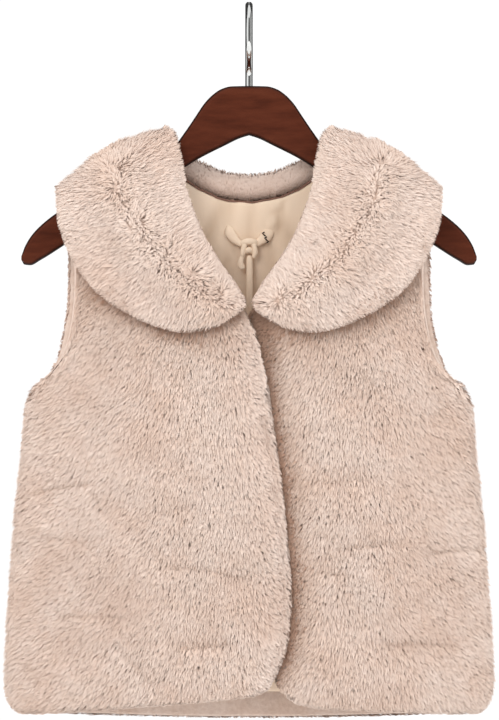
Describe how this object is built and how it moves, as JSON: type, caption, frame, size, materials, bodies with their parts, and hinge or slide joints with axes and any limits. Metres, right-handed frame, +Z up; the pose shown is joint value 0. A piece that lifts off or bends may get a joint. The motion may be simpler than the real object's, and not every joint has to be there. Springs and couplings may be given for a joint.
{
  "type": "plush vest on a wooden hanger",
  "caption": "Child's sleeveless faux-fur vest with a round cape collar and lapped fronts, hanging on a contoured wooden hanger with a wire hook.",
  "frame": {"origin": "inner top of the hook, where a rail touches it, on the middle plane of the hanger", "axes": "+X across the vest towards the wearer's left side, +Y towards its back, +Z up"},
  "size_m": [0.328, 0.0954, 0.4819],
  "materials": {
    "plush": "deep soft pile, pale rose beige",
    "lining_satin": "smooth satin, beige",
    "walnut_wood": "dark walnut stain under satin varnish",
    "chrome_wire": "bright chrome"
  },
  "bodies": {
    "root": {"back": "plush", "front_right": "plush", "front_left": "plush", "collar": "plush", "back_lining": "lining_satin", "tie_tab_right": "lining_satin", "tie_tab_left": "lining_satin", "tie_knot": "lining_satin", "tie_end_short": "lining_satin", "tie_end_long": "lining_satin", "hanger_wood": "walnut_wood", "hanger_hook": "chrome_wire"}
  },
  "joints": []
}
